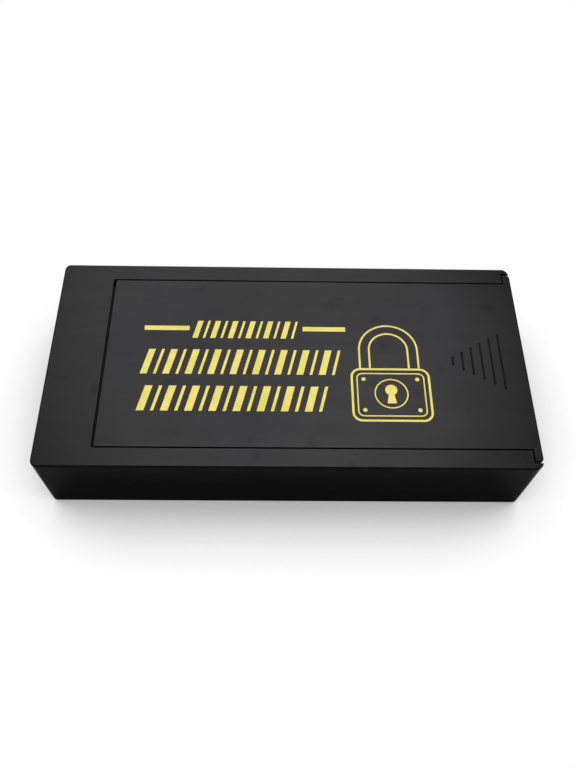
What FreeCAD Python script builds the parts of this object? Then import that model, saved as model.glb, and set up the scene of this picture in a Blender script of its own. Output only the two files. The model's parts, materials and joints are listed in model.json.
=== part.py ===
"""Magnetic key holder box: a moulded tub whose lid slides off one end, with two magnet units in its base.

Millimetres. +X is the way the lid slides open, +Y is the rear and +Z is up. The origin is under the middle
of the box, on the plane of the pole plates' edges, which stand slightly proud of the moulded base.
"""

import FreeCAD
import Part

import math
import os

V = FreeCAD.Vector
X_AXIS = V(1, 0, 0)
Y_AXIS = V(0, 1, 0)
Z_AXIS = V(0, 0, 1)

# ---- Case: outside ----
LENGTH = 140.0  # at the top face, over the closed end and the lid's end plate
WIDTH = 70.0  # at the top face
CASE_HEIGHT = 25.1  # moulded base to top face
DRAFT_DEG = 1.5  # every outer wall leans in towards the base
CLOSED_END_CORNER_R = 2.2
OPEN_END_CORNER_R = 3.0
TOP_EDGE_R = 0.5
LONG_EDGE_CHAMFER = 0.55  # along the top of the front and rear walls
BASE_EDGE_R = 0.8

# ---- Case: walls, deck and rails ----
WALL = 2.0
FLOOR = 2.0
FLOOR_FILLET_R = 0.8
TOP_SKIN = 1.8  # thickness of the fixed deck and of the rail flanges
RAIL_WIDTH = 5.9  # outer face to the flange's inner edge, at the top
DECK_LENGTH = 15.9  # fixed deck over the closed end
DECK_CORNER_R = 0.5  # opening's two corners at the deck
SEAM_EDGE_R = 0.12  # broken edge on both sides of the seam round the lid
LEDGE_WIDTH = 2.6  # shelf that the lid's tongue runs on
LEDGE_NOSE = 0.7  # height of the shelf's free edge
LEDGE_ROOT = 1.6  # height of the shelf where it meets the wall

# ---- Lid ----
LID_PANEL = 2.0
LID_SIDE_GAP = 0.33  # seam along each rail
LID_DECK_GAP = 0.68  # seam at the deck
TONGUE_THICKNESS = 1.5
TONGUE_SIDE_PLAY = 0.4
TONGUE_TOP_PLAY = 0.15
TONGUE_REST_PLAY = 0.03  # the tongue lies on the shelf
TONGUE_REACH = 3.0  # how far the tongue stands out in front of the panel, to run in under the deck
TONGUE_CORNER_CUT = 1.5  # lead-in on the tongue's two leading corners
RIM_WIDTH = 2.2  # rim under the panel's edges, which carries the tongue
HOLLOW_CORNER_R = 1.0
STIFFENER_COUNT = 3
STIFFENER_WIDTH = 1.2
STIFFENER_DEPTH = 0.9

# ---- Lid: end plate ----
END_PLATE = 2.4
END_SEAM = 0.4  # between the plate and the ends of the rails
END_SIDE_GAP = 0.3  # between the plate and the side walls and floor
END_CORNER_R = 0.8
GUSSET_THICKNESS = 1.2
GUSSET_LEG = 7.0
GUSSET_SPACING = 32.0

# ---- Lid: grip ribs, a fan of bars that widens towards the end plate ----
GRIP_COUNT = 6
GRIP_PITCH = 2.88
GRIP_SETBACK = 7.2  # last bar's centre to the outer end
GRIP_SHORTEST = 3.1
GRIP_LENGTH_STEP = 3.28
GRIP_BAR_WIDTH = 0.62  # at the foot; the flanks rise at 45 degrees to the crest
GRIP_STUD_WIDTH = 0.86  # foot of the round stud on each end of a bar, which rises likewise
GRIP_CREST = 0.06  # width of the flat along a bar's top and across a stud's

# ---- Snap that holds the lid shut: a bump on each edge of the tongue, in a dimple in each wall ----
SNAP_SETBACK = 16.0  # bump's centre to the outer end
SNAP_BUMP_R = 1.6
SNAP_WALL_CLEARANCE = 0.08  # between the bump's crest and the wall it slides along
SNAP_DIMPLE_DEPTH = 0.3
SNAP_DIMPLE_R = 2.2

# ---- Magnet units: a ferrite block between two steel pole plates, bonded into a pocket under the floor ----
MAGNET_LENGTH = 46.0
MAGNET_WIDTH = 15.0
MAGNET_RECESS = 0.5  # block's face above the pole plates' edges
MAGNET_CHAMFER = 0.5
POLE_PLATE_THICKNESS = 1.5
POLE_PLATE_HEIGHT = 5.2
POLE_PLATE_CORNER_R = 1.0
POLE_PROUD = 0.3  # how far the pole plates stand out of the moulded base
UNIT_SPACING = 68.0  # centre to centre, along the box
POCKET_GAP = 0.4  # glue gap round each unit
POCKET_CORNER_R = 0.8
GLUE_BED = 0.4  # glue between the unit and the pocket's roof
GLUE_RECESS = 0.7  # glue line's face above the moulded base
BOSS_WALL = 1.6  # plastic over and round each pocket
BOSS_CORNER_R = 2.4
BOSS_TOP_R = 0.6

# ---- Levels, upwards ----
BASE_Z = POLE_PROUD
FLOOR_Z = BASE_Z + FLOOR
POCKET_ROOF_Z = POLE_PLATE_HEIGHT + GLUE_BED
BOSS_Z = POCKET_ROOF_Z + BOSS_WALL
TOP_Z = BASE_Z + CASE_HEIGHT
SKIN_Z = TOP_Z - TOP_SKIN
PANEL_BOTTOM_Z = TOP_Z - LID_PANEL
TONGUE_TOP_Z = SKIN_Z - TONGUE_TOP_PLAY
TONGUE_BOTTOM_Z = TONGUE_TOP_Z - TONGUE_THICKNESS
LEDGE_Z = TONGUE_BOTTOM_Z - TONGUE_REST_PLAY

# ---- Stations along the box, from the closed end to the open end ----
CLOSED_X = -LENGTH / 2
DECK_X = CLOSED_X + DECK_LENGTH
PANEL_X = DECK_X + LID_DECK_GAP
TONGUE_X = PANEL_X - TONGUE_REACH
OPEN_X = LENGTH / 2
SNAP_X = OPEN_X - SNAP_SETBACK
PLATE_X = OPEN_X - END_PLATE
RAIL_END_X = PLATE_X - END_SEAM
UNIT_CENTRES = {"left": -UNIT_SPACING / 2, "right": UNIT_SPACING / 2}

# ---- Distances from the long middle plane ----
INNER_Y = WIDTH / 2 - WALL
FLANGE_Y = WIDTH / 2 - RAIL_WIDTH
PANEL_Y = FLANGE_Y - LID_SIDE_GAP
RIM_Y = PANEL_Y - RIM_WIDTH
UNIT_Y = MAGNET_WIDTH / 2 + POLE_PLATE_THICKNESS

SLOPE = math.tan(math.radians(DRAFT_DEG))
BURY = 0.5  # how deep an added feature starts inside the wall that carries it
CLEAR = 5.0  # how far a cutting solid runs past what it cuts
NEAR = 1e-4


def lean(z):
    """How far a drafted wall stands in, at height z, from its place at the top face."""
    return (TOP_Z - z) * SLOPE


GROOVE_Y = INNER_Y - lean(TONGUE_BOTTOM_Z)  # narrowest place beside the tongue
TONGUE_Y = GROOVE_Y - TONGUE_SIDE_PLAY


# ---- Helpers ----
def box(x0, x1, y0, y1, z0, z1):
    return Part.makeBox(x1 - x0, y1 - y0, z1 - z0, V(x0, y0, z0))


def solid(shape):
    """A single solid, out of the compound that an operation returns."""
    return shape.Solids[0] if len(shape.Solids) == 1 else shape


def both_sides(shape):
    """A shape and its mirror image across the long middle plane."""
    return [shape, shape.mirror(V(0, 0, 0), Y_AXIS)]


def prism(points, direction):
    """A closed polygon of points, pushed along a direction."""
    wire = Part.makePolygon(points + [points[0]])
    return Part.Face(wire).extrude(direction)


def rounded_outline(x0, x1, half_y, z, left_r, right_r):
    """A level rectangle whose corners are arcs, with one radius at x0 and another at x1."""
    corners = [
        V(x0 + left_r, -half_y + left_r, z),
        V(x1 - right_r, -half_y + right_r, z),
        V(x1 - right_r, half_y - right_r, z),
        V(x0 + left_r, half_y - left_r, z),
    ]
    arcs = []
    for quarter, (centre, radius) in enumerate(zip(corners, [left_r, right_r, right_r, left_r])):
        start = math.radians(180 + 90 * quarter)
        arcs.append(Part.Arc(Part.Circle(centre, Z_AXIS, radius), start, start + math.pi / 2))
    edges = []
    for arc, following in zip(arcs, arcs[1:] + arcs[:1]):
        edges.append(arc.toShape())
        if arc.EndPoint.distanceToPoint(following.StartPoint) > NEAR:
            edges.append(Part.LineSegment(arc.EndPoint, following.StartPoint).toShape())
    return Part.Wire(edges)


def rounded_plate(x0, x1, half_y, z0, z1, corner_r):
    """A level plate with upright sides and four equal rounded corners."""
    outline = rounded_outline(x0, x1, half_y, z0, corner_r, corner_r)
    return Part.Face(outline).extrude(V(0, 0, z1 - z0))


def drafted_block(x0, x1, half_y, z0, z1, left_r, right_r):
    """A block whose four walls lean in downwards by the case's draft. Its sizes hold at the top face."""
    wires = []
    for z in (z0, z1):
        inset = lean(z)
        wires.append(
            rounded_outline(x0 + inset, x1 - inset, half_y - inset, z, left_r - inset, right_r - inset)
        )
    return Part.makeLoft(wires, True, True)


def round_edges(shape, radius, chosen):
    """Fillets each edge for which chosen(middle point, direction) is true."""
    edges = []
    for edge in shape.Edges:
        middle = (edge.FirstParameter + edge.LastParameter) / 2
        if chosen(edge.valueAt(middle), edge.tangentAt(middle)):
            edges.append(edge)
    return solid(shape.makeFillet(radius, edges))


def runs_along(direction, axis):
    """True where a direction is nearly parallel to an axis."""
    return abs(direction.dot(axis)) > 0.9


def level_at(z):
    """A choice of the edges whose middle is at height z."""
    return lambda point, along: abs(point.z - z) < NEAR


def upright_at_deck(point, along):
    """True on the upright edges in the left half."""
    return runs_along(along, Z_AXIS) and point.x < 0


# ---- Case shell ----
def chamfer_wedge():
    """What is cut away along the top of the rear wall."""
    x0 = CLOSED_X - CLEAR
    inner_y = WIDTH / 2 - LONG_EDGE_CHAMFER - CLEAR
    outer_y = WIDTH / 2 + CLEAR
    section = [
        V(x0, inner_y, TOP_Z + CLEAR),
        V(x0, outer_y, TOP_Z + CLEAR),
        V(x0, outer_y, TOP_Z + CLEAR - (outer_y - inner_y)),
    ]
    return prism(section, V(LENGTH + 2 * CLEAR, 0, 0))


def outer_block():
    block = drafted_block(
        CLOSED_X, OPEN_X, WIDTH / 2, BASE_Z, TOP_Z, CLOSED_END_CORNER_R, OPEN_END_CORNER_R
    )
    block = round_edges(block, BASE_EDGE_R, level_at(BASE_Z))
    block = round_edges(block, TOP_EDGE_R, level_at(TOP_Z))
    return solid(block.cut(both_sides(chamfer_wedge())))


def between_walls(x0, x1, z0, z1):
    """The room between the leaning inner faces of the side walls."""
    low_y = INNER_Y - lean(z0)
    high_y = INNER_Y - lean(z1)
    section = [V(x0, -low_y, z0), V(x0, low_y, z0), V(x0, high_y, z1), V(x0, -high_y, z1)]
    return prism(section, V(x1 - x0, 0, 0))


def compartment():
    """The hollow under the top skin, open at the right end, with a fillet along the floor."""
    corner_r = max(CLOSED_END_CORNER_R - WALL, 0) + lean(FLOOR_Z) + FLOOR_FILLET_R
    x1 = OPEN_X + WIDTH
    hollow = drafted_block(CLOSED_X + WALL, x1, INNER_Y, FLOOR_Z, SKIN_Z, corner_r, corner_r)
    return round_edges(hollow, FLOOR_FILLET_R, level_at(FLOOR_Z))


def lid_opening():
    """The hole in the top skin between the deck and the two rail flanges."""
    hole = box(DECK_X, OPEN_X + CLEAR, -FLANGE_Y, FLANGE_Y, SKIN_Z - CLEAR, TOP_Z + CLEAR)
    return round_edges(hole, DECK_CORNER_R, upright_at_deck)


def ledge():
    """The rear shelf under the lid's tongue, with a sloping underside."""
    x0 = CLOSED_X + WALL
    wall_y = INNER_Y - lean(LEDGE_Z)
    section = [
        V(x0, wall_y - LEDGE_WIDTH, LEDGE_Z),
        V(x0, wall_y + BURY, LEDGE_Z),
        V(x0, wall_y + BURY, LEDGE_Z - LEDGE_ROOT),
        V(x0, wall_y - LEDGE_WIDTH, LEDGE_Z - LEDGE_NOSE),
    ]
    return prism(section, V(RAIL_END_X - x0, 0, 0))


def boss(centre_x):
    """The raised housing over one magnet pocket, widening towards the floor."""
    wires = []
    for z in (FLOOR_Z - BURY, BOSS_Z):
        flare = (BOSS_Z - z) * SLOPE
        half_x = MAGNET_LENGTH / 2 + POCKET_GAP + BOSS_WALL + flare
        half_y = UNIT_Y + POCKET_GAP + BOSS_WALL + flare
        corner_r = BOSS_CORNER_R + flare
        wires.append(rounded_outline(centre_x - half_x, centre_x + half_x, half_y, z, corner_r, corner_r))
    return round_edges(Part.makeLoft(wires, True, True), BOSS_TOP_R, level_at(BOSS_Z))


def pocket(centre_x, z0, z1):
    """The room inside one pocket between two levels."""
    half_x = MAGNET_LENGTH / 2 + POCKET_GAP
    return rounded_plate(
        centre_x - half_x, centre_x + half_x, UNIT_Y + POCKET_GAP, z0, z1, POCKET_CORNER_R
    )


def snap_dimple():
    """The hollow in the rear groove's wall that the lid's bump sits in."""
    centre = V(SNAP_X, GROOVE_Y + SNAP_DIMPLE_DEPTH - SNAP_DIMPLE_R, LEDGE_Z)
    return Part.makeCylinder(SNAP_DIMPLE_R, SKIN_Z - LEDGE_Z, centre)


def on_opening_edge(point, along):
    """True on the top edges of the opening that the lid's panel lies in."""
    on_rail = abs(abs(point.y) - FLANGE_Y) < NEAR and runs_along(along, X_AXIS)
    on_deck = abs(point.x - DECK_X) < DECK_CORNER_R and abs(point.y) < FLANGE_Y - NEAR
    return abs(point.z - TOP_Z) < NEAR and (on_rail or on_deck)


def case_shell():
    shell = outer_block().cut(compartment())
    shell = shell.cut([lid_opening(), between_walls(RAIL_END_X, OPEN_X + CLEAR, FLOOR_Z, TOP_Z + CLEAR)])
    bosses = [boss(x) for x in UNIT_CENTRES.values()]
    shell = shell.fuse(bosses + both_sides(ledge()))
    hollows = both_sides(snap_dimple())
    hollows += [pocket(x, BASE_Z - CLEAR, POCKET_ROOF_Z) for x in UNIT_CENTRES.values()]
    shell = shell.cut(hollows).removeSplitter()
    return round_edges(shell, SEAM_EDGE_R, on_opening_edge)


# ---- Sliding lid ----
def panel():
    """The visible top of the lid, flush with the rails, from its seam at the deck to the end plate."""
    plate = box(PANEL_X, PLATE_X + BURY, -PANEL_Y, PANEL_Y, TONGUE_BOTTOM_Z, TOP_Z)
    plate = round_edges(plate, DECK_CORNER_R, upright_at_deck)
    at_top = level_at(TOP_Z)
    return round_edges(plate, SEAM_EDGE_R, lambda point, along: at_top(point, along) and point.x < PLATE_X)


def tongue():
    """The wider plate under the panel, which runs in the grooves and tucks under the deck."""
    cut_x = TONGUE_X + TONGUE_CORNER_CUT
    cut_y = TONGUE_Y - TONGUE_CORNER_CUT
    outline = [
        V(TONGUE_X, -cut_y, TONGUE_BOTTOM_Z),
        V(cut_x, -TONGUE_Y, TONGUE_BOTTOM_Z),
        V(PLATE_X + BURY, -TONGUE_Y, TONGUE_BOTTOM_Z),
        V(PLATE_X + BURY, TONGUE_Y, TONGUE_BOTTOM_Z),
        V(cut_x, TONGUE_Y, TONGUE_BOTTOM_Z),
        V(TONGUE_X, cut_y, TONGUE_BOTTOM_Z),
    ]
    return prism(outline, V(0, 0, TONGUE_THICKNESS))


def lid_hollow():
    """The hollow under the panel, which leaves the rim all round."""
    x0 = PANEL_X + RIM_WIDTH
    x1 = PLATE_X - RIM_WIDTH
    return rounded_plate(x0, x1, RIM_Y, TONGUE_BOTTOM_Z - CLEAR, PANEL_BOTTOM_Z, HOLLOW_CORNER_R)


def stiffeners():
    """Cross ribs under the panel, evenly spaced between its two ends."""
    step = (PLATE_X - PANEL_X) / (STIFFENER_COUNT + 1)
    half_y = RIM_Y + BURY
    ribs = []
    for number in range(1, STIFFENER_COUNT + 1):
        x0 = PANEL_X + number * step - STIFFENER_WIDTH / 2
        x1 = x0 + STIFFENER_WIDTH
        ribs.append(box(x0, x1, -half_y, half_y, PANEL_BOTTOM_Z - STIFFENER_DEPTH, PANEL_BOTTOM_Z + BURY))
    return ribs


def end_plate():
    """The plate that closes the open end, between the side walls and above the floor."""
    half_y = INNER_Y - END_SIDE_GAP
    z0 = FLOOR_Z + END_SIDE_GAP
    corner_r = END_CORNER_R + lean(z0)
    block = drafted_block(PLATE_X - WIDTH, OPEN_X, half_y, z0, TOP_Z, corner_r, corner_r)
    block = round_edges(block, TOP_EDGE_R, level_at(TOP_Z))
    return block.common(box(PLATE_X, OPEN_X + CLEAR, -WIDTH, WIDTH, z0, TOP_Z + CLEAR))


def gusset(centre_y):
    """A triangular web between the panel and the end plate."""
    y0 = centre_y - GUSSET_THICKNESS / 2
    corners = [
        V(PLATE_X + BURY, y0, PANEL_BOTTOM_Z + BURY),
        V(PLATE_X - GUSSET_LEG, y0, PANEL_BOTTOM_Z + BURY),
        V(PLATE_X - GUSSET_LEG, y0, PANEL_BOTTOM_Z),
        V(PLATE_X, y0, PANEL_BOTTOM_Z - GUSSET_LEG),
        V(PLATE_X + BURY, y0, PANEL_BOTTOM_Z - GUSSET_LEG),
    ]
    return prism(corners, V(0, GUSSET_THICKNESS, 0))


def grip_rib(centre_x, length):
    """A gabled bar on the lid's top face, with a taller round stud on each end."""
    foot_x = GRIP_BAR_WIDTH / 2 + BURY
    crest_x = GRIP_CREST / 2
    half_y = (length - GRIP_STUD_WIDTH) / 2
    section = [
        V(centre_x - foot_x, -half_y, TOP_Z - BURY),
        V(centre_x + foot_x, -half_y, TOP_Z - BURY),
        V(centre_x + crest_x, -half_y, TOP_Z - BURY + foot_x - crest_x),
        V(centre_x - crest_x, -half_y, TOP_Z - BURY + foot_x - crest_x),
    ]
    bar = prism(section, V(0, 2 * half_y, 0))
    foot_r = GRIP_STUD_WIDTH / 2 + BURY
    stud = Part.makeCone(foot_r, crest_x, foot_r - crest_x, V(centre_x, half_y, TOP_Z - BURY))
    return solid(bar.fuse(both_sides(stud)))


def grip_ribs():
    """Grip bars across the lid, each longer than the one before."""
    ribs = []
    for number in range(GRIP_COUNT):
        centre_x = OPEN_X - GRIP_SETBACK - (GRIP_COUNT - 1 - number) * GRIP_PITCH
        ribs.append(grip_rib(centre_x, GRIP_SHORTEST + number * GRIP_LENGTH_STEP))
    return ribs


def snap_bump():
    """The rear bump on the tongue's edge."""
    centre = V(SNAP_X, GROOVE_Y - SNAP_WALL_CLEARANCE - SNAP_BUMP_R, TONGUE_BOTTOM_Z)
    return Part.makeCylinder(SNAP_BUMP_R, TONGUE_THICKNESS, centre)


def sliding_lid():
    lid = panel().fuse(tongue()).cut(lid_hollow())
    additions = [end_plate()] + stiffeners() + grip_ribs()
    additions += both_sides(snap_bump()) + both_sides(gusset(GUSSET_SPACING / 2))
    return solid(lid.fuse(additions).removeSplitter())


# ---- Magnet units ----
def magnet_block(centre_x):
    """A pressed ferrite block, magnetised across its width."""
    half_x = MAGNET_LENGTH / 2
    half_y = MAGNET_WIDTH / 2
    block = box(centre_x - half_x, centre_x + half_x, -half_y, half_y, MAGNET_RECESS, POLE_PLATE_HEIGHT)
    end_edges = [edge for edge in block.Edges if runs_along(edge.tangentAt(0), Y_AXIS)]
    return solid(block.makeChamfer(MAGNET_CHAMFER, end_edges))


def pole_plate(centre_x, side):
    """A steel strip on one face of a magnet block, with its lower corners rounded."""
    half_x = MAGNET_LENGTH / 2
    low_y, high_y = sorted([side * MAGNET_WIDTH / 2, side * UNIT_Y])
    plate = box(centre_x - half_x, centre_x + half_x, low_y, high_y, 0, POLE_PLATE_HEIGHT)
    at_foot = level_at(0)
    return round_edges(
        plate, POLE_PLATE_CORNER_R, lambda point, along: at_foot(point, along) and runs_along(along, Y_AXIS)
    )


def magnet_adhesive(centre_x):
    """The glue that fills the pocket over and round one magnet unit."""
    half_x = MAGNET_LENGTH / 2
    unit = box(centre_x - half_x, centre_x + half_x, -UNIT_Y, UNIT_Y, 0, POLE_PLATE_HEIGHT)
    return solid(pocket(centre_x, BASE_Z + GLUE_RECESS, POCKET_ROOF_Z).cut(unit))


def all_parts():
    parts = {"case_shell": case_shell(), "sliding_lid": sliding_lid()}
    for place, centre_x in UNIT_CENTRES.items():
        parts["magnet_block_" + place] = magnet_block(centre_x)
        parts["pole_plate_" + place + "_front"] = pole_plate(centre_x, -1)
        parts["pole_plate_" + place + "_rear"] = pole_plate(centre_x, 1)
        parts["magnet_adhesive_" + place] = magnet_adhesive(centre_x)
    return parts


os.makedirs("parts", exist_ok=True)
for name, shape in all_parts().items():
    shape.exportStep("parts/" + name + ".step")
    print(name, shape.ShapeType, "valid" if shape.isValid() else "BROKEN", round(shape.Volume, 1), "mm3")
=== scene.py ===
"""The looks of the magnetic key holder box: materials, printed panel, floor, light and camera.

Metres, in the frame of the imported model: +X is the way the lid slides open, +Y the rear, +Z up, with the
origin under the middle of the box on the plane that it rests on.
"""

import json
import math

import bpy
from mathutils import Matrix, Vector

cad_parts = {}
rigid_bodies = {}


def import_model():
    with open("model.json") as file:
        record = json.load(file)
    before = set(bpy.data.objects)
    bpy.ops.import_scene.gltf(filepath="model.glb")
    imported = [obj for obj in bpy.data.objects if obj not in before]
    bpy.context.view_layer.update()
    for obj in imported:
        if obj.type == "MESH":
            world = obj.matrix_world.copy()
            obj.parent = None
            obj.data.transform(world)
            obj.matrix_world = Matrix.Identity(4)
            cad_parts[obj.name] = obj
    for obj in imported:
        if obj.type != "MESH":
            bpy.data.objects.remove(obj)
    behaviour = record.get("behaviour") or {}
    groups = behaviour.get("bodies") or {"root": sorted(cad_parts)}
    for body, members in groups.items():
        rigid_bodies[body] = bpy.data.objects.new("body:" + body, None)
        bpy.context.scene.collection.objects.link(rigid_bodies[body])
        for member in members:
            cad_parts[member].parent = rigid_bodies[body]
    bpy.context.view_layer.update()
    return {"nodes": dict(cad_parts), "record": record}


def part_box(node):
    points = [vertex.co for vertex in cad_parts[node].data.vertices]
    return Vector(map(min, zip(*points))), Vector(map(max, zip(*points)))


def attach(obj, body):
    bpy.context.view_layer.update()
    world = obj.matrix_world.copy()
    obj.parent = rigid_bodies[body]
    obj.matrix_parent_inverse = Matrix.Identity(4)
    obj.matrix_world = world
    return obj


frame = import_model()

MM = 0.001

# ---- The printed panel: places on the lid, in millimetres ----
INK_HEIGHT = 0.04
INK_BED = 0.02  # how far the ink's underside lies in the lid's surface
RULES = ((-43.0, -29.6), (4.3, 17.1))  # left and right ends
RULE_BOTTOM, RULE_TOP = 10.0, 11.6
SLANT = 0.24  # sideways lean of the bars, per unit of height
BAR_ROWS = {  # left, right, bottom, top, pairs of bars, width of the thick and of the thin bar
    "print_small_bars": (-28.6, 2.9, 7.3, 13.5, 6, 1.6, 0.7),
    "print_upper_bars": (-43.0, 15.4, -5.3, 3.2, 9, 1.95, 0.8),
    "print_lower_bars": (-43.0, 11.4, -17.5, -9.3, 8, 2.15, 0.9),
}
PADLOCK_X = 29.5  # the padlock's upright middle line
BODY_HALF_WIDTH = 11.2
BODY_BOTTOM, BODY_TOP = -20.2, -3.2
BODY_CORNER_R = 2.6
BODY_LINE = 0.65
INNER_INSET = 1.5  # from the body's outline to the thin one inside it
INNER_CORNER_R = 1.6
FINE_LINE = 0.38
SHACKLE_RADII = (8.6, 5.7)
SHACKLE_CENTRE_Y = 3.6
SHACKLE_GAP = 0.4  # between the shackle's legs and the body
SHACKLE_LINE = 0.55
KEYHOLE_R = 1.75
KEYHOLE_Y, KEYHOLE_FOOT_Y = -10.2, -14.6
KEYHOLE_FOOT_HALF = 1.35
ESCUTCHEON_Y = -11.4
ESCUTCHEON_R = 4.7
RIVET_R = 0.62
RIVET_X = 7.8  # from the middle line
RIVET_YS = (-16.8, -6.6)
KEYHOLE_NECK_DEG = -62  # where the round hole meets the slot below it
HALF_DISC_DEG = 87  # the two edges of a round band end just short of its top and bottom, and don't meet there
CORNER_STEPS, KEYHOLE_STEPS, RIVET_STEPS, SHACKLE_STEPS = 8, 14, 16, 28  # straight pieces in each arc
RING_POINTS = 48

# ---- The stage, in metres ----
FLOOR_HALF = 3.0
# Near the object the camera sees the floor as lamp-lit paper with its real shadow, and elsewhere as plain
# white. How near a point is shows in the share of directions that are open there, with nothing standing
# within SHADOW_REACH.
# This occlusion mask also dims the white near the object where the lamps do reach it: painted contact shade.
SHADOW_REACH = 0.035
SHADOW_CORE = 0.5  # open share where the paper shows most
SHADOW_END = 0.85  # open share from where on it doesn't show
SHADOW_LIFT = 0.4  # how much white the camera sees where the paper shows most
# Areas of the floor that glossy surfaces mirror as paper: the box's own, and a strip in front of it. Each is
# middle x, middle y, half length, half width, and the distance over which it turns plain white.
MIRRORED_PAPER = ((0.0, 0.0, 0.070, 0.035, 0.012), (0.0, -0.041, 0.077, 0.006, 0.018))
SKY_LEVEL = 0.05
# What glossy surfaces mirror: sine of the elevation, and the level there
SURROUNDINGS = ((0.0, 1.0), (0.08, 0.16), (0.42, 0.10), (0.52, SKY_LEVEL), (0.90, SKY_LEVEL), (0.99, 0.90))

# ---- The camera, from a fit of the box's edges in the photograph ----
CAMERA_PLACE = Vector((-4.448, -122.860, 215.676)) * MM
CAMERA_AIM = Vector((-0.164, -8.462, 25.4)) * MM
CAMERA_ROLL_DEG = 2.318
FOCAL_PIXELS = 772.05
IMAGE_HEIGHT = 768  # pixels, the long side of the picture


# ---- Shader helpers ----
class Nodes:
    """The node tree of a material, a lamp or the world, with one short call for each kind of node."""

    def __init__(self, owner):
        owner.use_nodes = True
        self.owner = owner
        self.tree = owner.node_tree
        self.tree.nodes.clear()
        self.coordinates = self.new("ShaderNodeTexCoord").outputs

    def new(self, kind, inputs=None, **settings):
        """Adds a node. Each of its inputs takes a value, a socket or the first output of another node."""
        node = self.tree.nodes.new(kind)
        for key, value in settings.items():
            setattr(node, key, value)
        for key, value in (inputs or {}).items():
            self.feed(node.inputs[key], value)
        return node

    def feed(self, socket, value):
        """Links an input to a socket or a node, or sets it to a value."""
        if isinstance(value, bpy.types.NodeSocket):
            self.tree.links.new(value, socket)
        elif isinstance(value, bpy.types.Node):
            self.tree.links.new(value.outputs[0], socket)
        else:
            socket.default_value = value

    def noise(self, scale, detail=3.0, roughness=0.5, stretch=(1, 1, 1)):
        """Noise with features 1/scale metres wide, longer along the axes where stretch is small."""
        place = self.new("ShaderNodeMapping", {"Vector": self.coordinates["Object"], "Scale": stretch})
        inputs = {"Vector": place, "Scale": scale, "Detail": detail, "Roughness": roughness}
        return self.new("ShaderNodeTexNoise", inputs).outputs["Fac"]

    def between(self, value, low, high, to_low=0.0, to_high=1.0):
        """value mapped from low..high to to_low..to_high, and kept inside it."""
        inputs = {"Value": value, "From Min": low, "From Max": high, "To Min": to_low, "To Max": to_high}
        return self.new("ShaderNodeMapRange", inputs).outputs["Result"]

    def math(self, operation, first, second=0.0):
        """Arithmetic on one or two values. An operation on one value takes no notice of the second."""
        return self.new("ShaderNodeMath", {0: first, 1: second}, operation=operation).outputs[0]

    def mix(self, factor, first, second):
        """A blend of two colours, whose sockets are the node's inputs 6 and 7 and its output 2."""
        return self.new("ShaderNodeMix", {0: factor, 6: first, 7: second}, data_type="RGBA").outputs[2]

    def bump(self, height, distance, strength=1.0, below=None):
        """A normal for relief that is distance metres high, on top of the relief below."""
        inputs = {"Height": height, "Distance": distance, "Strength": strength}
        if below is not None:
            inputs["Normal"] = below
        return self.new("ShaderNodeBump", inputs).outputs["Normal"]

    def ray(self, kind):
        """1 for rays of one kind, 0 for the others."""
        return self.new("ShaderNodeLightPath").outputs["Is %s Ray" % kind]

    def finish(self, shader, kind="Material"):
        """Ends the tree, and gives back what it belongs to."""
        self.new("ShaderNodeOutput" + kind, {"Surface": shader})
        return self.owner

    def surface(self, **inputs):
        """Ends a material's tree with a Principled BSDF. Input names have underscores for their spaces."""
        named = {key.replace("_", " "): value for key, value in inputs.items()}
        return self.finish(self.new("ShaderNodeBsdfPrincipled", named))


def grey(level, tint=(1.0, 1.0, 1.0)):
    """An opaque grey, or one leaning towards a tint."""
    return (level * tint[0], level * tint[1], level * tint[2], 1.0)


# ---- Materials ----
NOISE_RANGE = (0.3, 0.7)  # where most of a noise's values lie


def moulded_plastic(name, base_level, gloss_roughness, ior):
    """Black moulded plastic that was handled: mould texture, cloudy gloss, flow marks, dust and scratches."""
    n = Nodes(bpy.data.materials.new(name))
    grain = n.noise(9000, detail=2.0)
    ripple = n.noise(240, detail=2.0)
    clouds = n.noise(38, detail=4.0, roughness=0.6)
    tinge = n.noise(26, detail=2.0)
    flow = n.noise(420, detail=3.0, stretch=(0.10, 1.0, 1.0))
    worn = n.between(n.noise(55, detail=2.0), 0.50, 0.62)
    scratches = n.between(n.noise(3000, detail=2.0, stretch=(0.03, 1.0, 1.0)), 0.62, 0.70)
    scratches = n.math("MULTIPLY", scratches, worn)
    smudges = n.between(n.noise(130, detail=2.0), 0.66, 0.76)
    dust = n.between(n.noise(2600, detail=1.0), 0.71, 0.80)

    colour = n.mix(clouds, grey(base_level), grey(base_level * 1.5, (1.0, 0.98, 0.96)))
    colour = n.mix(n.math("MULTIPLY", dust, 0.12), colour, grey(0.16, (1.0, 0.97, 0.92)))
    colour = n.mix(n.math("MULTIPLY", scratches, 0.05), colour, grey(0.14))
    roughness = n.between(clouds, *NOISE_RANGE, gloss_roughness * 0.85, gloss_roughness * 1.25)
    for marks, added in ((scratches, 0.10), (smudges, 0.06), (dust, 0.20)):
        roughness = n.math("ADD", roughness, n.math("MULTIPLY", marks, added))
    gloss = n.between(clouds, *NOISE_RANGE, 0.455, 0.545)
    gloss = n.math("ADD", gloss, n.between(flow, *NOISE_RANGE, -0.022, 0.022))
    gloss = n.math("SUBTRACT", gloss, n.math("MULTIPLY", smudges, 0.09))
    cool = (0.97, 0.935, 1.0, 1.0)
    warm = (1.0, 0.965, 0.97, 1.0)
    tint = n.mix(n.between(tinge, 0.35, 0.65), cool, warm)
    relief = n.bump(ripple, 0.00002, 0.25)
    relief = n.bump(grain, 0.000004, 0.5, relief)
    relief = n.bump(scratches, -0.000006, 0.5, relief)
    return n.surface(
        Base_Color=colour,
        Roughness=roughness,
        IOR=ior,
        Specular_IOR_Level=gloss,
        Specular_Tint=tint,
        Normal=relief,
    )


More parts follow.
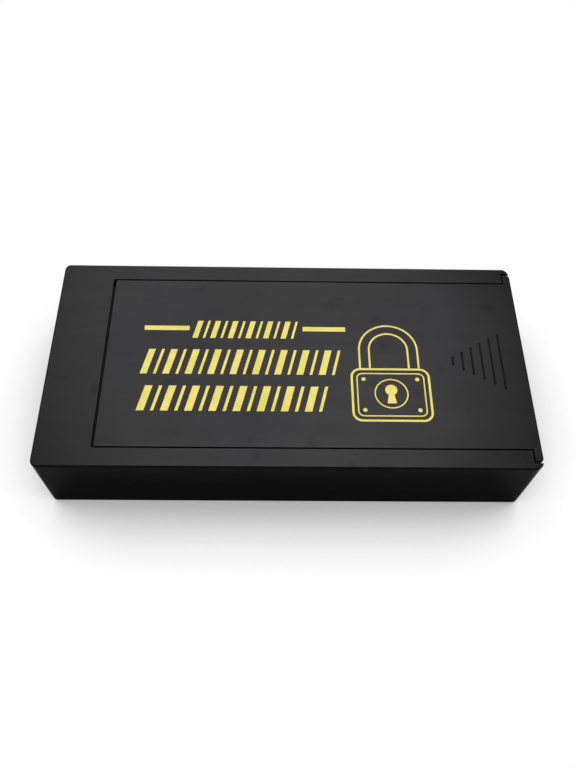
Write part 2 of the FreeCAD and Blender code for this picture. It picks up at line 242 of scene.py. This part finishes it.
def printing_ink():
    """Yellow pad-printing ink: dense, a little uneven, with pinholes at the scale of the print screen."""
    n = Nodes(bpy.data.materials.new("printing_ink"))
    deep = (0.865, 0.735, 0.150, 1.0)
    pale = (0.945, 0.810, 0.225, 1.0)
    over_black = (0.78, 0.70, 0.120, 1.0)
    bare = (0.20, 0.16, 0.03, 1.0)
    cloud = n.between(n.noise(350, detail=3.0), 0.35, 0.65)
    thin = n.between(n.noise(75, detail=2.0), 0.48, 0.68)
    pinholes = n.between(n.noise(4200, detail=1.0), 0.70, 0.78)
    colour = n.mix(cloud, deep, pale)
    colour = n.mix(n.math("MULTIPLY", thin, 0.7), colour, over_black)
    colour = n.mix(n.math("MULTIPLY", pinholes, 0.35), colour, bare)
    relief = n.bump(n.noise(3000, detail=2.0), 0.000004, 0.5)
    return n.surface(Base_Color=colour, Roughness=0.38, IOR=1.48, Normal=relief)


def sintered_ferrite():
    """Pressed ceramic magnet: dark grey, matt, with a fine pitted grain and paler rubbed spots."""
    n = Nodes(bpy.data.materials.new("sintered_ferrite"))
    grain = n.noise(5200, detail=4.0, roughness=0.7)
    patches = n.noise(260, detail=3.0)
    pits = n.between(n.noise(2100, detail=2.0), 0.64, 0.72)
    colour = n.mix(patches, grey(0.032, (1.0, 1.0, 1.04)), grey(0.060, (1.0, 1.0, 1.02)))
    colour = n.mix(n.between(grain, 0.55, 0.75), colour, grey(0.10))
    relief = n.bump(n.math("SUBTRACT", grain, pits), 0.00004, 0.6)
    roughness = n.between(grain, *NOISE_RANGE, 0.55, 0.8)
    return n.surface(Base_Color=colour, Roughness=roughness, Normal=relief)


def plated_steel():
    """Zinc-plated strip: rolled along its length, slightly mottled."""
    n = Nodes(bpy.data.materials.new("plated_steel"))
    tarnished = (0.36, 0.31, 0.24, 1.0)
    rolling = n.noise(2600, detail=3.0, stretch=(0.03, 1.0, 1.0))
    mottle = n.noise(420, detail=3.0)
    tarnish = n.between(n.noise(150, detail=4.0, roughness=0.65), 0.52, 0.70)
    colour = n.mix(mottle, grey(0.52, (1.0, 1.0, 1.02)), grey(0.68, (0.98, 1.0, 1.03)))
    colour = n.mix(n.math("MULTIPLY", tarnish, 0.45), colour, tarnished)
    roughness = n.between(rolling, *NOISE_RANGE, 0.24, 0.40)
    roughness = n.math("ADD", roughness, n.math("MULTIPLY", tarnish, 0.2))
    relief = n.bump(rolling, 0.000006, 0.6)
    return n.surface(Base_Color=colour, Metallic=1.0, Roughness=roughness, Normal=relief)


def cured_glue():
    """Amber glue, cloudy, with small bubbles."""
    n = Nodes(bpy.data.materials.new("cured_glue"))
    deep = (0.20, 0.14, 0.075, 1.0)
    pale = (0.34, 0.26, 0.16, 1.0)
    cloud = n.noise(600, detail=3.0)
    bubbles = n.between(n.noise(2400, detail=1.0), 0.66, 0.72)
    colour = n.mix(cloud, deep, pale)
    relief = n.bump(n.math("SUBTRACT", cloud, bubbles), 0.00006, 0.7)
    return n.surface(Base_Color=colour, Roughness=0.32, IOR=1.5, Normal=relief)


def past(n, area):
    """0 over an area of the floor, and 1 beyond the distance over which it fades out."""
    middle_x, middle_y, half_x, half_y, fade = area
    apart = n.new("ShaderNodeSeparateXYZ", {"Vector": n.coordinates["Object"]})
    squares = []
    for axis, middle, half in (("X", middle_x, half_x), ("Y", middle_y, half_y)):
        offset = n.math("ABSOLUTE", n.math("SUBTRACT", apart.outputs[axis], middle))
        past_edge = n.math("MAXIMUM", n.math("SUBTRACT", offset, half), 0.0)
        squares.append(n.math("POWER", past_edge, 2.0))
    inputs = {"Value": n.math("SQRT", n.math("ADD", squares[0], squares[1])), "From Max": fade}
    return n.new("ShaderNodeMapRange", inputs, interpolation_type="SMOOTHSTEP").outputs["Result"]


def pale_floor():
    """Pale lamp-lit paper with the object's real shadow, which turns into the plain white backdrop round it.

    An occlusion mask dims the white towards the dimmer paper near the object, which paints a contact shade.
    """
    n = Nodes(bpy.data.materials.new("pale_floor"))
    # Painted contact shade: where the occlusion mask finds little open sky, the white backdrop gives way to
    # the dimmer paper.
    openness = n.new("ShaderNodeAmbientOcclusion", {"Distance": SHADOW_REACH}).outputs["AO"]
    white_share_with_painted_shade = n.between(openness, SHADOW_CORE, SHADOW_END, SHADOW_LIFT, 1.0)
    white_share_with_painted_shade = n.math("MULTIPLY", white_share_with_painted_shade, n.ray("Camera"))
    mirrored = n.math("MAXIMUM", n.ray("Glossy"), n.ray("Transmission"))
    for area in MIRRORED_PAPER:
        mirrored = n.math("MULTIPLY", mirrored, past(n, area))
    white = n.math("MAXIMUM", white_share_with_painted_shade, mirrored)
    colour = n.mix(n.noise(4, detail=2.0), grey(0.80), grey(0.83))
    paper = n.new("ShaderNodeBsdfDiffuse", {"Color": colour})
    backdrop = n.new("ShaderNodeEmission", {"Color": grey(1.0), "Strength": 1.0})
    return n.finish(n.new("ShaderNodeMixShader", {0: white, 1: paper, 2: backdrop}))


SLOT_MATERIALS = {
    "case_plastic": moulded_plastic("case_plastic", base_level=0.0028, gloss_roughness=0.18, ior=1.512),
    "lid_plastic": moulded_plastic("lid_plastic", base_level=0.0034, gloss_roughness=0.13, ior=1.520),
    "ferrite": sintered_ferrite(),
    "pole_steel": plated_steel(),
    "adhesive": cured_glue(),
    "printing_ink": printing_ink(),
}


def dress_cad_nodes():
    """Gives each CAD node the material of its slot in the record."""
    for entry in frame["record"]["subparts"]:
        node = frame["nodes"][entry["node"]]
        node.data.materials.clear()
        node.data.materials.append(SLOT_MATERIALS[entry["material_slot"]])


# ---- The printed panel ----
def printed(name, bands):
    """A thin film of ink on the lid's top face.

    A band is its left edge and its right edge, two equal rows of (x, y) in millimetres, and whether its end
    meets its start.
    """
    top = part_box("case_shell")[1].z
    vertices, faces = [], []
    for left, right, closed in bands:
        count = len(left)
        first = len(vertices)
        for z in (top - INK_BED * MM, top + INK_HEIGHT * MM):
            vertices += [(x * MM, y * MM, z) for x, y in list(left) + list(right)]
        low_left, low_right, high_left, high_right = [first + row * count for row in range(4)]
        for i in range(count if closed else count - 1):
            j = (i + 1) % count
            faces.append([high_left + i, high_right + i, high_right + j, high_left + j])
            faces.append([low_left + i, low_left + j, low_right + j, low_right + i])
            faces.append([low_left + i, high_left + i, high_left + j, low_left + j])
            faces.append([low_right + i, low_right + j, high_right + j, high_right + i])
        if not closed:
            last = count - 1
            faces.append([low_left, low_right, high_right, high_left])
            faces.append([low_left + last, high_left + last, high_right + last, low_right + last])
    mesh = bpy.data.meshes.new(name)
    mesh.from_pydata(vertices, [], faces)
    mesh.materials.append(SLOT_MATERIALS["printing_ink"])
    piece = bpy.data.objects.new(name, mesh)
    bpy.context.scene.collection.objects.link(piece)
    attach(piece, "lid")


def bar_row(x0, x1, y0, y1, repeats, thick, thin):
    """Slanted bars, thick and thin in turn, evenly spaced from x0 to x1."""
    lean = SLANT * (y1 - y0)
    gap = (x1 - x0 - lean - repeats * (thick + thin)) / (2 * repeats - 1)
    bands = []
    start = x0
    for number in range(repeats):
        for width in (thick, thin):
            left = [(start, y0), (start + lean, y1)]
            right = [(start + width, y0), (start + width + lean, y1)]
            bands.append((left, right, False))
            start += width + gap
    return bands


def stroke(path, width, closed=False):
    """A line of one width along a path whose corners are rounded."""
    count = len(path)
    left, right = [], []
    for i, (x, y) in enumerate(path):
        before = path[i - 1] if closed or i > 0 else path[i]
        after = path[(i + 1) % count] if closed or i + 1 < count else path[i]
        along = (Vector(after) - Vector(before)).normalized() * (width / 2)
        left.append((x - along.y, y + along.x))
        right.append((x + along.y, y - along.x))
    return left, right, closed


def arc(x, y, radius, from_deg, to_deg, steps):
    """Points along an arc, both ends included."""
    points = []
    for step in range(steps + 1):
        angle = math.radians(from_deg + (to_deg - from_deg) * step / steps)
        points.append((x + radius * math.cos(angle), y + radius * math.sin(angle)))
    return points


def body_outline(inset, radius):
    """The outline of the padlock's body, anticlockwise."""
    half_x = BODY_HALF_WIDTH - inset
    y0 = BODY_BOTTOM + inset
    y1 = BODY_TOP - inset
    points = []
    corners = [(half_x, y0, 1, -1), (half_x, y1, 1, 1), (-half_x, y1, -1, 1), (-half_x, y0, -1, -1)]
    for quarter, (x, y, side, up) in enumerate(corners):
        start = 90 * quarter - 90
        centre_x = PADLOCK_X + x - side * radius
        points += arc(centre_x, y - up * radius, radius, start, start + 90, CORNER_STEPS)
    return points


def ring(x, y, radius, width):
    """A round line."""
    steps = RING_POINTS - 1
    return stroke(arc(x, y, radius, 0, 360 * steps / RING_POINTS, steps), width, closed=True)


def disc(x, y, radius):
    """A round dot, as a band between its left and its right half."""
    right = arc(x, y, radius, -HALF_DISC_DEG, HALF_DISC_DEG, RIVET_STEPS)
    return [(2 * x - point_x, point_y) for point_x, point_y in right], right, False


def keyhole():
    """A round hole over a slot that widens downwards."""
    foot = [(PADLOCK_X + KEYHOLE_FOOT_HALF, KEYHOLE_FOOT_Y)]
    right = foot + arc(PADLOCK_X, KEYHOLE_Y, KEYHOLE_R, KEYHOLE_NECK_DEG, HALF_DISC_DEG, KEYHOLE_STEPS)
    return [(2 * PADLOCK_X - point_x, point_y) for point_x, point_y in right], right, False


def shackle(radius):
    """One line of the shackle: an arch on two legs."""
    foot_y = BODY_TOP + SHACKLE_GAP
    arch = arc(PADLOCK_X, SHACKLE_CENTRE_Y, radius, 0, 180, SHACKLE_STEPS)
    return stroke([(PADLOCK_X + radius, foot_y)] + arch + [(PADLOCK_X - radius, foot_y)], SHACKLE_LINE)


def padlock():
    """A line drawing of a plain padlock."""
    bands = [
        stroke(body_outline(0.0, BODY_CORNER_R), BODY_LINE, closed=True),
        stroke(body_outline(INNER_INSET, INNER_CORNER_R), FINE_LINE, closed=True),
        ring(PADLOCK_X, ESCUTCHEON_Y, ESCUTCHEON_R, FINE_LINE),
        keyhole(),
    ]
    bands += [shackle(radius) for radius in SHACKLE_RADII]
    for x in (PADLOCK_X - RIVET_X, PADLOCK_X + RIVET_X):
        bands += [disc(x, y, RIVET_R) for y in RIVET_YS]
    return bands


def add_print():
    """The yellow print: two rules, three rows of bars and a padlock."""
    rules = []
    for x0, x1 in RULES:
        rules.append(([(x0, RULE_BOTTOM), (x0, RULE_TOP)], [(x1, RULE_BOTTOM), (x1, RULE_TOP)], False))
    printed("print_rules", rules)
    for name, row in BAR_ROWS.items():
        printed(name, bar_row(*row))
    printed("print_padlock", padlock())


# ---- Stage ----
def add_floor():
    """The plain floor that the box stands on."""
    half = FLOOR_HALF
    corners = [(-half, -half, 0), (half, -half, 0), (half, half, 0), (-half, half, 0)]
    mesh = bpy.data.meshes.new("floor")
    mesh.from_pydata(corners, [], [(0, 1, 2, 3)])
    mesh.materials.append(pale_floor())
    floor = bpy.data.objects.new("floor", mesh)
    bpy.context.scene.collection.objects.link(floor)


def add_softbox(name, place, size, luminance, flatness=1.0, turn_deg=0.0, aim=None):
    """An elliptical panel that fades to nothing at its edge; a higher flatness keeps more of it even.

    It faces straight down unless it is aimed at a point.
    """
    below = (place[0], place[1], 0.0)
    light = bpy.data.lights.new(name, "AREA")
    light.shape = "ELLIPSE"
    light.size, light.size_y = size
    area = math.pi / 4 * size[0] * size[1]
    light.energy = luminance * math.pi * area  # a flat lamp sends out pi times its luminance per square metre
    n = Nodes(light)
    across = n.new("ShaderNodeNewGeometry").outputs["Parametric"]  # 0 to 1 both ways, so the edge is 0.5 out
    offset = n.new("ShaderNodeVectorMath", {0: across, 1: (0.5, 0.5, 0.0)}, operation="SUBTRACT")
    square = n.new("ShaderNodeVectorMath", {0: offset, 1: offset}, operation="DOT_PRODUCT").outputs["Value"]
    level = n.math("MINIMUM", n.between(square, 0.0, 0.5**2, flatness, 0.0), 1.0)
    n.finish(n.new("ShaderNodeEmission", {"Strength": level}), "Light")
    lamp = bpy.data.objects.new(name, light)
    lamp.location = place
    lamp.visible_camera = False
    facing = (Vector(place) - Vector(aim or below)).to_track_quat("Z", "Y").to_matrix()
    lamp.rotation_euler = (facing @ Matrix.Rotation(math.radians(turn_deg), 3, "Z")).to_euler()
    bpy.context.scene.collection.objects.link(lamp)
    return lamp


def add_rear_panels():
    """Two overhead panels at the rear, which the top of the box mirrors: a wide one and a brighter middle."""
    add_softbox(
        "rear_panel",
        place=(-0.041, 0.960, 1.35),
        size=(1.466, 1.868),
        luminance=0.969,
        flatness=1.383,
        turn_deg=18.7,
    )
    add_softbox("rear_panel_core", place=(0.141, 0.743, 1.34), size=(0.664, 0.498), luminance=0.183)


def add_side_panels():
    """A panel on each side that lights the box's own colours, and neither glares nor lights the floor."""
    for name, side in (("left_panel", -1), ("right_panel", 1)):
        lamp = add_softbox(
            name,
            place=(side * 1.25, 0.05, 1.05),
            size=(1.2, 1.2),
            luminance=6.5,
            flatness=2.5,
            aim=(0.0, 0.0, 0.0),
        )
        lamp.visible_glossy = False
        receivers = bpy.data.collections.new(name + "_receivers")
        for thing in bpy.context.scene.objects:
            if thing.type == "MESH" and thing.name != "floor":
                receivers.objects.link(thing)
        lamp.light_linking.receiver_collection = receivers


def add_world():
    """A dim room that shows as a plain white backdrop. Glossy surfaces mirror walls that darken upwards."""
    world = bpy.data.worlds.new("studio")
    bpy.context.scene.world = world
    n = Nodes(world)
    direction = n.new("ShaderNodeSeparateXYZ", {"Vector": n.coordinates["Generated"]})
    mirrored = n.new("ShaderNodeValToRGB", {"Fac": direction.outputs["Z"]})
    stops = mirrored.color_ramp.elements
    given = len(stops)  # a new ramp has its two ends already
    for number, (elevation, level) in enumerate(SURROUNDINGS):
        stop = stops[number] if number < given else stops.new(elevation)
        stop.position = elevation
        stop.color = grey(level)
    strength = n.between(n.ray("Glossy"), 0.0, 1.0, SKY_LEVEL, mirrored)
    for kind in ("Camera", "Transmission"):
        strength = n.math("MAXIMUM", strength, n.ray(kind))
    n.finish(n.new("ShaderNodeBackground", {"Color": grey(1.0), "Strength": strength}), "World")


def add_camera():
    """The photograph's viewing angle."""
    camera = bpy.data.cameras.new("camera")
    camera.lens = camera.sensor_width * FOCAL_PIXELS / IMAGE_HEIGHT
    camera.clip_start = 0.01
    view = bpy.data.objects.new("camera", camera)
    facing = (CAMERA_AIM - CAMERA_PLACE).to_track_quat("-Z", "Y").to_matrix()
    turn = facing @ Matrix.Rotation(math.radians(CAMERA_ROLL_DEG), 3, "Z")
    view.matrix_world = Matrix.Translation(CAMERA_PLACE) @ turn.to_4x4()
    bpy.context.scene.collection.objects.link(view)
    bpy.context.scene.camera = view


dress_cad_nodes()
add_print()
add_floor()
add_rear_panels()
add_side_panels()
add_world()
add_camera()
bpy.context.scene.view_settings.view_transform = "Standard"
